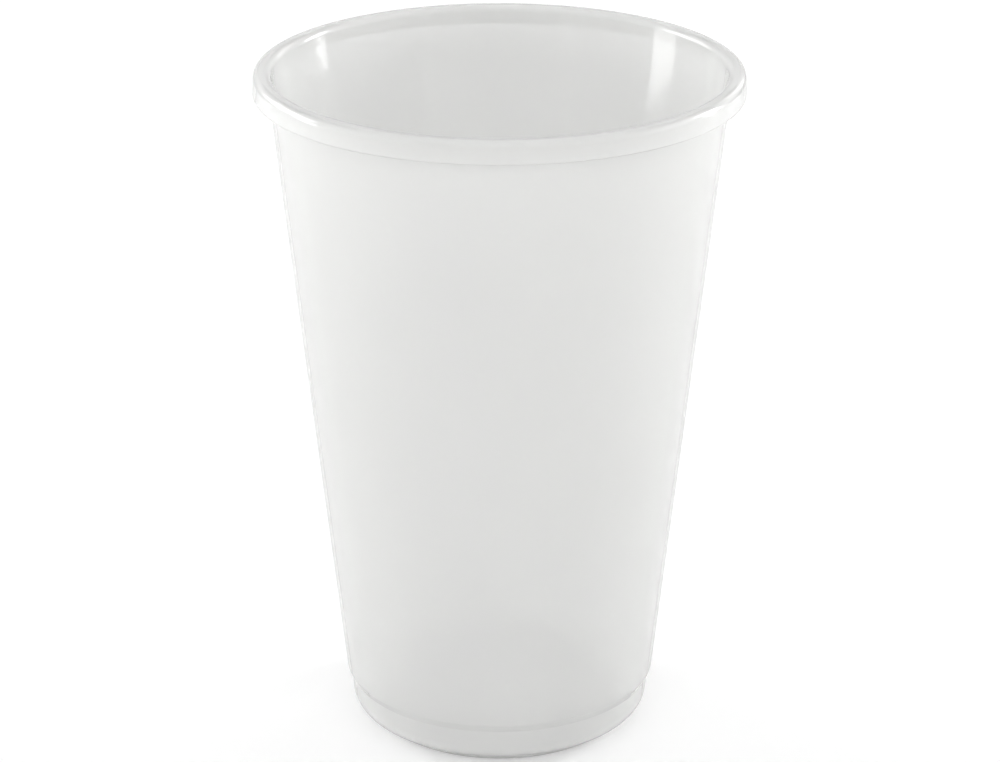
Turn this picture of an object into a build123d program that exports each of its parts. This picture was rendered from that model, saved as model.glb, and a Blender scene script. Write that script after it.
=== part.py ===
from build123d import *
import os

# Reusable drinking cup, moulded in one piece from a clear matt plastic.
# Millimetres. The cup stands on its foot ring at z = 0, with its axis on Z.
# The whole cup is one sheet of even thickness, so its section is one bent line and its offset.
# Each bend below is the radius on the tighter side of the sheet.

# Overall
height = 136.0
rim_diameter = 95.0
wall = 0.9

# Rim: the wall turns outward over a rounded crest and down into a skirt, open underneath
rim_overhang = 2.75
crest_bend = 0.5
skirt_drop = 4.4
skirt_lean = 0.2
skirt_edge_round = 0.3

# Stacking shoulder: the cone of the wall ends and the sheet steps inward to an upright band
shoulder_drop = 1.7
shoulder_step = 0.95
shoulder_bend = 0.3
band_height = 5.3
band_taper = 0.3

# Heel and foot: a slanted heel runs down from the band to a narrow flat ring on the ground
heel_height = 3.6
heel_reach = 5.2
heel_bend = 3.1
foot_diameter = 49.3
foot_width = 3.45
foot_bend = 1.6

# Pushed-up base: the panel stands well off the ground, on a tapered collar inside the foot ring
pocket_depth = 8.1
collar_taper = 0.5
pocket_mouth_bend = 0.7
pocket_end_bend = 0.8

# What follows the sizes above
neck_diameter = rim_diameter - 2 * rim_overhang
skirt_inside_diameter = rim_diameter - 2 * wall
crest_underside = height - wall
band_foot_diameter = foot_diameter + 2 * heel_reach
band_diameter = band_foot_diameter + 2 * band_taper
band_top = heel_height + band_height
shoulder_diameter = band_diameter + 2 * shoulder_step
shoulder_height = band_top + shoulder_drop
pocket_mouth_diameter = foot_diameter - 2 * foot_width
pocket_end_diameter = pocket_mouth_diameter - 2 * collar_taper

# The underside of the sheet, from the middle of the base panel out to the tip of the skirt:
# each corner with the radius of its bend, which takes in the wall where the sheet lies inside it
panel_middle = (0, pocket_depth)
corners = [
    ((pocket_end_diameter / 2, pocket_depth), pocket_end_bend),
    ((pocket_mouth_diameter / 2, 0), pocket_mouth_bend + wall),
    ((foot_diameter / 2, 0), foot_bend + wall),
    ((band_foot_diameter / 2, heel_height), heel_bend + wall),
    ((band_diameter / 2, band_top), shoulder_bend),
    ((shoulder_diameter / 2, shoulder_height), shoulder_bend + wall),
    ((neck_diameter / 2, crest_underside), crest_bend),
    ((skirt_inside_diameter / 2 - skirt_lean, crest_underside), crest_bend),
]
skirt_tip = (skirt_inside_diameter / 2, height - skirt_drop)

with BuildPart() as cup:
    with BuildSketch(Plane.XZ) as section:
        with BuildLine():
            FilletPolyline(
                panel_middle,
                *[point for point, bend in corners],
                skirt_tip,
                radius=[bend for point, bend in corners],
            )
            offset(amount=wall, side=Side.LEFT, closed=True)
        make_face()
        skirt_corners = section.vertices().sort_by_distance(skirt_tip)[:2]
        fillet(skirt_corners, skirt_edge_round)
    revolve(axis=Axis.Z)

cup.part.label = "cup"
os.makedirs("parts", exist_ok=True)
export_step(cup.part, "parts/cup.step")

print(f"cup: {cup.part.volume / 1000:.1f} cubic centimetres of plastic")
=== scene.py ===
"""Looks of a reusable drinking cup in clear matt plastic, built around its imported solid.

The cup is one bent sheet turned about the Z axis. All lengths are in metres, in the frame of the solid:
the cup stands on z = 0, and the photograph's camera looks along +Y from in front and above.
"""

from __future__ import annotations

import logging
import math
from dataclasses import dataclass, field
from enum import Enum
from typing import Any

import bpy
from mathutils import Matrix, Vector


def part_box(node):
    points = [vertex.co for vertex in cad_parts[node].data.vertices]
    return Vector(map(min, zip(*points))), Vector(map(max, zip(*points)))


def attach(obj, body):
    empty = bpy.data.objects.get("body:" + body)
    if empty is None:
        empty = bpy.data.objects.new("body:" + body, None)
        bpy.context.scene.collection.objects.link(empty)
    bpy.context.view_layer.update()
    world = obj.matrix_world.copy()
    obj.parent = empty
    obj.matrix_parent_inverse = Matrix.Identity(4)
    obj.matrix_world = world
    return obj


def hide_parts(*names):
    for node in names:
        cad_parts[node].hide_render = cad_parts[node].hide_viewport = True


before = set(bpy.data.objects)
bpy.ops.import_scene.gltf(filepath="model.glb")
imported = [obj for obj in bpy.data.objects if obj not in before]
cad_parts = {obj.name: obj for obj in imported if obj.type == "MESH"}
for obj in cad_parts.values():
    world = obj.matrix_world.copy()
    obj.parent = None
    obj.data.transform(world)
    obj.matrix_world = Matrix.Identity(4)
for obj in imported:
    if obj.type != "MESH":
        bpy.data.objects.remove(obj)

LOG = logging.getLogger("cup")
MM = 0.001
QUARTER_TURN = math.pi / 2
CUP_NODE = "cup"
CUP_BODY = "root"

Colour = tuple[float, float, float, float]
Levels = tuple[tuple[float, float], ...]


class Side(Enum):
    """The two faces of the sheet, by the sign of its left-hand normal."""

    UNDER = -1
    CUP = 1


@dataclass(frozen=True)
class Corner:
    """A corner of the sheet's underside line, with the radius that rounds it."""

    radius: float
    height: float
    bend: float = 0.0


@dataclass(frozen=True)
class SectionPoint:
    """A point of the section, with the direction that faces out of the plastic there."""

    radius: float
    height: float
    normal: Vector


@dataclass
class SheetSection:
    """The cup's section: one sheet of even thickness, from the middle of the base to the tip of the skirt.

    The sizes are the solid's own, and each bend is the radius on the tighter side of the sheet.
    """

    height: float
    rim_radius: float
    wall: float = 0.9 * MM

    # Rim
    rim_overhang: float = 2.75 * MM
    crest_bend: float = 0.5 * MM
    skirt_drop: float = 4.4 * MM
    skirt_lean: float = 0.2 * MM
    skirt_edge_round: float = 0.3 * MM

    # Stacking shoulder
    shoulder_drop: float = 1.7 * MM
    shoulder_step: float = 0.95 * MM
    shoulder_bend: float = 0.3 * MM
    band_height: float = 5.3 * MM
    band_taper: float = 0.3 * MM

    # Heel and foot
    heel_height: float = 3.6 * MM
    heel_reach: float = 5.2 * MM
    heel_bend: float = 3.1 * MM
    foot_radius: float = 24.65 * MM
    foot_width: float = 3.45 * MM
    foot_bend: float = 1.6 * MM

    # Pushed-up base
    pocket_depth: float = 8.1 * MM
    collar_taper: float = 0.5 * MM
    pocket_mouth_bend: float = 0.7 * MM
    pocket_end_bend: float = 0.8 * MM

    # How finely the line is cut into points
    bend_step: float = math.radians(7.0)
    fewest_bend_steps: int = 3
    skirt_edge_steps: int = 6
    straight_step: float = 8.0 * MM

    def corners(self) -> list[Corner]:
        """Gives the underside line before its bends are rounded.

        Returns:
            The corners in order, from the axis out over the base, up the wall and down the skirt.
        """
        pocket_mouth = self.foot_radius - self.foot_width
        band_foot = self.foot_radius + self.heel_reach
        band = band_foot + self.band_taper
        band_top = self.heel_height + self.band_height
        crest_underside = self.height - self.wall
        skirt_inside = self.rim_radius - self.wall
        return [
            Corner(0.0, self.pocket_depth),
            Corner(pocket_mouth - self.collar_taper, self.pocket_depth, self.pocket_end_bend),
            Corner(pocket_mouth, 0.0, self.pocket_mouth_bend + self.wall),
            Corner(self.foot_radius, 0.0, self.foot_bend + self.wall),
            Corner(band_foot, self.heel_height, self.heel_bend + self.wall),
            Corner(band, band_top, self.shoulder_bend),
            Corner(band + self.shoulder_step, band_top + self.shoulder_drop, self.shoulder_bend + self.wall),
            Corner(self.rim_radius - self.rim_overhang, crest_underside, self.crest_bend),
            Corner(skirt_inside - self.skirt_lean, crest_underside, self.crest_bend),
            Corner(skirt_inside, self.height - self.skirt_drop),
        ]

    def underside(self) -> list[tuple[Vector, Vector]]:
        """Rounds the underside line and samples it, down to where the skirt's edge begins to round.

        Returns:
            Pairs of a point (radius, height) and the left-hand normal there, which points across the sheet.
        """
        corners = self.corners()
        places = [Vector((corner.radius, corner.height)) for corner in corners]
        places[-1] = places[-1] + (places[-2] - places[-1]).normalized() * self.skirt_edge_round
        runs = [(end - start).normalized() for start, end in zip(places, places[1:])]
        line = [(places[0], left_of(runs[0]))]
        for corner, place, run_in, run_out in zip(corners[1:-1], places[1:-1], runs, runs[1:]):
            turn = math.atan2(run_in.x * run_out.y - run_in.y * run_out.x, run_in.dot(run_out))
            setback = corner.bend * math.tan(abs(turn) / 2)
            start, normal = place - run_in * setback, left_of(run_in)
            self._run_to(line, start, normal)
            to_centre = math.copysign(corner.bend, turn)
            centre = start + normal * to_centre
            steps = max(self.fewest_bend_steps, math.ceil(abs(turn) / self.bend_step))
            for step in range(1, steps + 1):
                turned = rotated(normal, turn * step / steps)
                line.append((centre - turned * to_centre, turned))
        self._run_to(line, places[-1], left_of(runs[-1]))
        return line

    def _run_to(self, line: list[tuple[Vector, Vector]], end: Vector, normal: Vector) -> None:
        """Adds a straight run to the line, in steps of even length.

        Args:
            line: The points so far; the new ones go on its end.
            end: Where the run ends.
            normal: The left-hand normal along the run.
        """
        start = line[-1][0]
        steps = max(1, math.ceil((end - start).length / self.straight_step))
        for step in range(1, steps + 1):
            line.append((start.lerp(end, step / steps), normal))

    def outline(self) -> list[SectionPoint]:
        """Goes once round the section, out along the underside and back along the cup side.

        Returns:
            The points in order. The first and the last lie on the axis.
        """
        line = self.underside()
        under = [self._point(place, normal, Side.UNDER) for place, normal in line]
        cup = [self._point(place, normal, Side.CUP) for place, normal in reversed(line)]
        return under + self._skirt_edge(*line[-1]) + cup

    def _point(self, place: Vector, normal: Vector, side: Side) -> SectionPoint:
        """Puts a point on one face of the sheet.

        Args:
            place: The point on the underside line.
            normal: The left-hand normal there.
            side: The face that the point is wanted on.

        Returns:
            The point on that face.
        """
        moved = place + normal * self.wall if side is Side.CUP else place
        return SectionPoint(moved.x, moved.y, normal * side.value)

    def _skirt_edge(self, place: Vector, normal: Vector) -> list[SectionPoint]:
        """Rounds the two corners of the skirt's lower edge.

        Args:
            place: Where the underside line ends, above the edge by the radius of its corners.
            normal: The left-hand normal there.

        Returns:
            The points round both corners, from the underside to the outside. The two faces of the sheet
            hold the first and the last point of the rounding, so they are left out.
        """
        radius, steps = self.skirt_edge_round, self.skirt_edge_steps
        points = []
        for inset, quarters_before in ((radius, 0), (self.wall - radius, 1)):
            centre = place + normal * inset
            for step in range(1 - quarters_before, steps + 1 - quarters_before):
                facing = rotated(-normal, QUARTER_TURN * (quarters_before + step / steps))
                spot = centre + facing * radius
                points.append(SectionPoint(spot.x, spot.y, facing))
        return points


def left_of(run: Vector) -> Vector:
    """Gives the left-hand normal of a direction in the section."""
    return Vector((-run.y, run.x))


def rotated(direction: Vector, angle: float) -> Vector:
    """Turns a direction in the section.

    Args:
        direction: A direction (radius, height).
        angle: The turn in radians, positive to the left.

    Returns:
        The turned direction.
    """
    cos, sin = math.cos(angle), math.sin(angle)
    return Vector((direction.x * cos - direction.y * sin, direction.x * sin + direction.y * cos))


class NodeBench:
    """Adds and wires the nodes of one material or world."""

    def __init__(self, tree: bpy.types.NodeTree) -> None:
        """Starts with an empty tree."""
        self.tree = tree
        tree.nodes.clear()

    def add(self, kind: str, settings: dict[str, Any] | None = None, **inputs: Any) -> bpy.types.Node:
        """Adds a node.

        Args:
            kind: The node's type.
            settings: Values of the node's own properties, by name.
            **inputs: Values or output sockets for its inputs, with underscores for the spaces in their names.

        Returns:
            The new node.
        """
        node = self.tree.nodes.new(kind)
        for name, value in (settings or {}).items():
            setattr(node, name, value)
        for name, value in inputs.items():
            self.feed(node, name.replace("_", " "), value)
        return node

    def feed(self, node: bpy.types.Node, name: str | int, value: Any) -> None:
        """Gives one input of a node its value, or wires an output socket to it.

        Args:
            node: The node that is fed.
            name: The input's name or number.
            value: A value, or the output socket of another node.
        """
        socket = node.inputs[name]
        if isinstance(value, bpy.types.NodeSocket):
            self.tree.links.new(value, socket)
        else:
            socket.default_value = value


@dataclass(frozen=True)
class ClearMattPlastic:
    """Milky clear plastic with a fine matt grain, a faint ripple and a little cloudiness."""

    name: str = "clear_matt_plastic"
    clear_colour: Colour = (0.990, 0.991, 0.983, 1.0)
    cloudy_colour: Colour = (0.970, 0.971, 0.963, 1.0)
    cloud_scale: float = 60.0
    cloud_detail: float = 3.0
    roughness_low: float = 0.02
    roughness_high: float = 0.04
    ior: float = 1.49
    shine: float = 0.70
    transmission: float = 0.54
    grain_scale: float = 2600.0
    grain_detail: float = 2.0
    grain_depth: float = 0.0015 * MM
    ripple_scale: float = 45.0
    ripple_detail: float = 1.0
    ripple_depth: float = 0.05 * MM

    def make(self) -> bpy.types.Material:
        """Builds the finish.

        Returns:
            The material.
        """
        material = bpy.data.materials.new(self.name)
        material.use_nodes = True
        bench = NodeBench(material.node_tree)
        place = bench.add("ShaderNodeTexCoord").outputs["Object"]
        cloud = self._noise(bench, place, self.cloud_scale, self.cloud_detail)
        colour = bench.add("ShaderNodeValToRGB", Fac=cloud)
        colour.color_ramp.elements[0].color = self.cloudy_colour
        colour.color_ramp.elements[1].color = self.clear_colour
        grain = self._noise(bench, place, self.grain_scale, self.grain_detail)
        rough = bench.add(
            "ShaderNodeMapRange", Value=grain, To_Min=self.roughness_low, To_Max=self.roughness_high
        )
        ripple = self._noise(bench, place, self.ripple_scale, self.ripple_detail)
        waves = bench.add("ShaderNodeBump", Height=ripple, Distance=self.ripple_depth)
        matt = bench.add(
            "ShaderNodeBump", Height=grain, Distance=self.grain_depth, Normal=waves.outputs["Normal"]
        )
        plastic = bench.add(
            "ShaderNodeBsdfPrincipled",
            Base_Color=colour.outputs["Color"],
            Roughness=rough.outputs["Result"],
            IOR=self.ior,
            Specular_IOR_Level=self.shine,
            Transmission_Weight=self.transmission,
            Normal=matt.outputs["Normal"],
        )
        bench.add("ShaderNodeOutputMaterial", Surface=plastic.outputs["BSDF"])
        return material

    @staticmethod
    def _noise(
        bench: NodeBench, place: bpy.types.NodeSocket, scale: float, detail: float
    ) -> bpy.types.NodeSocket:
        """Adds an even noise.

        Args:
            bench: The nodes that the noise is wanted in.
            place: The socket with the place on the cup.
            scale: How many patches there are to a metre.
            detail: How many finer layers lie over the first.

        Returns:
            A socket with the noise, from 0 to 1.
        """
        return bench.add("ShaderNodeTexNoise", Vector=place, Scale=scale, Detail=detail).outputs["Fac"]


@dataclass
class Cup:
    """The cup, turned as one closed piece of plastic."""

    section: SheetSection
    finish: ClearMattPlastic = field(default_factory=ClearMattPlastic)
    name: str = "drinking_cup"
    turns: int = 240

    def build(self) -> bpy.types.Object:
        """Makes the cup and puts it in the place of its solid.

        Returns:
            The finished piece.
        """
        piece = bpy.data.objects.new(self.name, self._mesh())
        bpy.context.scene.collection.objects.link(piece)
        piece.data.materials.append(self.finish.make())
        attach(piece, CUP_BODY)
        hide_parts(CUP_NODE)
        return piece

    def _mesh(self) -> bpy.types.Mesh:
        """Turns the section about the Z axis.

        Returns:
            A closed mesh whose normals are the section's own.
        """
        outline = self.section.outline()
        rings = outline[1:-1]
        angles = [math.tau * turn / self.turns for turn in range(self.turns)]
        points = [(p.radius * math.cos(a), p.radius * math.sin(a), p.height) for p in rings for a in angles]
        normals = [
            (p.normal.x * math.cos(a), p.normal.x * math.sin(a), p.normal.y) for p in rings for a in angles
        ]
        faces = []
        for ring in range(len(rings) - 1):
            here, there = ring * self.turns, (ring + 1) * self.turns
            for turn in range(self.turns):
                onward = (turn + 1) % self.turns
                faces.append((here + turn, here + onward, there + onward, there + turn))
        for pole, ring, facing in ((outline[0], 0, 1), (outline[-1], len(rings) - 1, -1)):
            middle = len(points)
            points.append((0.0, 0.0, pole.height))
            normals.append((0.0, 0.0, pole.normal.y))
            for turn in range(self.turns):
                edge = (ring * self.turns + turn, ring * self.turns + (turn + 1) % self.turns)
                faces.append((middle, *edge[::-facing]))
        mesh = bpy.data.meshes.new(self.name)
        mesh.from_pydata(points, [], faces)
        mesh.shade_smooth()
        mesh.normals_split_custom_set_from_vertices(normals)
        mesh.validate()
        return mesh


@dataclass(frozen=True)
class WhiteStage:
    """A white floor and surroundings that look white and light the cup at a plain level.

    The lights are pairs of a rise and the level there. A rise is the upward share of a direction, from 0 at
    the horizon to 1 overhead. The front light comes on top of the all-round light as a direction turns from
    front_starts to front_is_full, which are its shares toward the front.
    """

    floor_size: float = 6.0
    floor_colour: Colour = (0.80, 0.80, 0.80, 1.0)
    floor_lift: float = 0.28
    floor_lift_by_the_cup: float = 0.09
    seen_white: float = 1.0
    all_round_light: Levels = (
        (0.0, 2.4), (0.11, 2.4), (0.14, 0.65), (0.30, 0.7),
        (0.55, 0.8), (0.65, 0.4), (0.83, 0.45), (0.90, 1.12),
    )
    front_light: Levels = (
        (0.0, 2.4), (0.11, 2.4), (0.14, 0.0), (0.29, 0.0),
        (0.33, 2.3), (0.57, 2.2), (0.65, 0.3),
    )
    front_starts: float = 0.50
    front_is_full: float = 0.90

    def build(self) -> bpy.types.Object:
        """Lays the floor and lights the world.

        Returns:
            The floor.
        """
        half = self.floor_size / 2
        corners = [(-half, -half, 0.0), (half, -half, 0.0), (half, half, 0.0), (-half, half, 0.0)]
        mesh = bpy.data.meshes.new("floor")
        mesh.from_pydata(corners, [], [(0, 1, 2, 3)])
        floor = bpy.data.objects.new("floor", mesh)
        bpy.context.scene.collection.objects.link(floor)
        floor.data.materials.append(self._floor_finish())
        self._surroundings()
        return floor

    @staticmethod
    def _seen(bench: NodeBench, straight: float = 1.0, by_the_cup: float = 1.0) -> bpy.types.NodeSocket:
        """Tells rays that show the stage from rays that light the cup.

        Args:
            bench: The nodes that the answer is wanted in.
            straight: The answer for rays from the camera.
            by_the_cup: The answer for rays that the plastic mirrors or lets through.

        Returns:
            A socket with these answers, and 0 for all other rays.
        """
        path = bench.add("ShaderNodeLightPath")
        either = bench.add("ShaderNodeMath", {"operation": "MAXIMUM"})
        bench.feed(either, 0, path.outputs["Is Glossy Ray"])
        bench.feed(either, 1, path.outputs["Is Transmission Ray"])
        bent = bench.add("ShaderNodeMath", {"operation": "MULTIPLY"})
        bench.feed(bent, 0, either.outputs["Value"])
        bench.feed(bent, 1, by_the_cup)
        seen = bench.add("ShaderNodeMath", {"operation": "MULTIPLY_ADD"})
        bench.feed(seen, 0, path.outputs["Is Camera Ray"])
        bench.feed(seen, 1, straight)
        bench.feed(seen, 2, bent.outputs["Value"])
        return seen.outputs["Value"]

    def _floor_finish(self) -> bpy.types.Material:
        """Builds the floor's finish, which keeps the cup's shadow.

        Returns:
            The material.
        """
        material = bpy.data.materials.new("white_floor")
        material.use_nodes = True
        bench = NodeBench(material.node_tree)
        matt = bench.add("ShaderNodeBsdfDiffuse", Color=self.floor_colour)
        lift = self._seen(bench, self.floor_lift, self.floor_lift_by_the_cup)
        glow = bench.add("ShaderNodeEmission", Strength=lift)
        both = bench.add("ShaderNodeAddShader")
        bench.feed(both, 0, matt.outputs["BSDF"])
        bench.feed(both, 1, glow.outputs["Emission"])
        bench.add("ShaderNodeOutputMaterial", Surface=both.outputs["Shader"])
        return material

    @staticmethod
    def _by_rise(bench: NodeBench, rise: bpy.types.NodeSocket, levels: Levels) -> bpy.types.NodeSocket:
        """Gives a level that changes with the rise of a direction.

        Args:
            bench: The nodes that the level is wanted in.
            rise: The socket with the direction's rise.
            levels: Pairs of a rise and the level there.

        Returns:
            A socket with the level.
        """
        ramp = bench.add("ShaderNodeValToRGB", Fac=rise)
        stops = ramp.color_ramp.elements
        while len(stops) < len(levels):
            stops.new(1.0)
        for stop, (place, level) in zip(stops, levels):
            stop.position, stop.color = place, (level, level, level, 1.0)
        return ramp.outputs["Color"]

    def _surroundings(self) -> None:
        """Makes the world white where it is seen, and gives it the lights' levels where it only lights."""
        world = bpy.data.worlds.new("surroundings")
        world.use_nodes = True
        bpy.context.scene.world = world
        bench = NodeBench(world.node_tree)
        direction = bench.add("ShaderNodeTexCoord").outputs["Generated"]
        facing = bench.add("ShaderNodeSeparateXYZ", Vector=direction)
        rise = facing.outputs["Z"]
        toward_front = bench.add(
            "ShaderNodeMapRange",
            {"interpolation_type": "SMOOTHSTEP"},
            Value=facing.outputs["Y"],
            From_Min=-self.front_starts,
            From_Max=-self.front_is_full,
        )
        lit = bench.add("ShaderNodeMath", {"operation": "MULTIPLY_ADD"})
        bench.feed(lit, 0, toward_front.outputs["Result"])
        bench.feed(lit, 1, self._by_rise(bench, rise, self.front_light))
        bench.feed(lit, 2, self._by_rise(bench, rise, self.all_round_light))
        level = bench.add(
            "ShaderNodeMapRange", Value=self._seen(bench), To_Min=lit.outputs["Value"], To_Max=self.seen_white
        )
        light = bench.add("ShaderNodeBackground", Strength=level.outputs["Result"])
        bench.add("ShaderNodeOutputWorld", Surface=light.outputs["Background"])


@dataclass(frozen=True)
class SoftBox:
    """A soft lamp that stands upright round the cup and faces it.

    The azimuth is in degrees, from 0 in front of the cup to 90 on its right, and the power in watts.
    """

    name: str
    azimuth: float
    width: float
    power: float
    height: float = 0.40
    middle_height: float = 0.40
    distance: float = 0.85

    def build(self) -> bpy.types.Object:
        """Sets the lamp up.

        Returns:
            The lamp.
        """
        lamp = bpy.data.lights.new(self.name, "AREA")
        lamp.shape = "RECTANGLE"
        lamp.size, lamp.size_y = self.width, self.height
        lamp.energy = self.power
        stand = bpy.data.objects.new(self.name, lamp)
        turn = math.radians(self.azimuth)
        stand.location = (
            self.distance * math.sin(turn), -self.distance * math.cos(turn), self.middle_height
        )
        aim = Vector((0.0, 0.0, self.middle_height)) - stand.location
        stand.rotation_euler = aim.to_track_quat("-Z", "Y").to_euler()
        bpy.context.scene.collection.objects.link(stand)
        return stand


@dataclass(frozen=True)
class PhotoCamera:
    """The photograph's camera: in front of the cup, above it and tilted down.

    The focal length and the sensor's width are in millimetres, and the shift is a share of that width.
    """

    name: str = "photo_camera"
    distance: float = 0.640
    height: float = 0.3250
    tilt_down: float = math.radians(21.62)
    focal_length: float = 124.85
    sensor: float = 36.0
    shift: float = 0.0004
    nearest: float = 0.01
    farthest: float = 50.0

    def build(self) -> bpy.types.Object:
        """Puts the camera in place and makes it the scene's.

        Returns:
            The camera.
        """
        lens = bpy.data.cameras.new(self.name)
        lens.lens, lens.sensor_width, lens.shift_x = self.focal_length, self.sensor, self.shift
        lens.clip_start, lens.clip_end = self.nearest, self.farthest
        camera = bpy.data.objects.new(self.name, lens)
        camera.location = (0.0, -self.distance, self.height)
        camera.rotation_euler = (QUARTER_TURN - self.tilt_down, 0.0, 0.0)
        bpy.context.scene.collection.objects.link(camera)
        bpy.context.scene.camera = camera
        return camera


SOFT_BOXES = (
    SoftBox("left_panel", azimuth=-107.0, width=0.36, power=2.75),
    SoftBox("left_back", azimuth=-128.0, width=0.21, power=0.85),
    SoftBox("right_panel", azimuth=112.0, width=0.21, power=3.2),
    SoftBox("right_side", azimuth=91.0, width=0.42, power=0.32),
    SoftBox("right_back", azimuth=148.0, width=0.15, power=0.30),
    SoftBox("left_strip", azimuth=-96.0, width=0.24, power=0.90, height=0.08, middle_height=0.04),
    SoftBox("right_strip", azimuth=107.0, width=0.12, power=0.50, height=0.08, middle_height=0.04),
)


def main() -> None:
    """Builds the cup, its stage, its lamps and its camera."""
    logging.basicConfig(level=logging.INFO, format="%(name)s: %(message)s")
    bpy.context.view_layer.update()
    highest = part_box(CUP_NODE)[1]
    cup = Cup(SheetSection(height=highest.z, rim_radius=highest.x)).build()
    LOG.info("%s: %d faces", cup.name, len(cup.data.polygons))
    for part in (WhiteStage(), *SOFT_BOXES, PhotoCamera()):
        LOG.info("%s is in place", part.build().name)
    bpy.context.scene.view_settings.view_transform = "Standard"


if __name__ == "__main__":
    main()
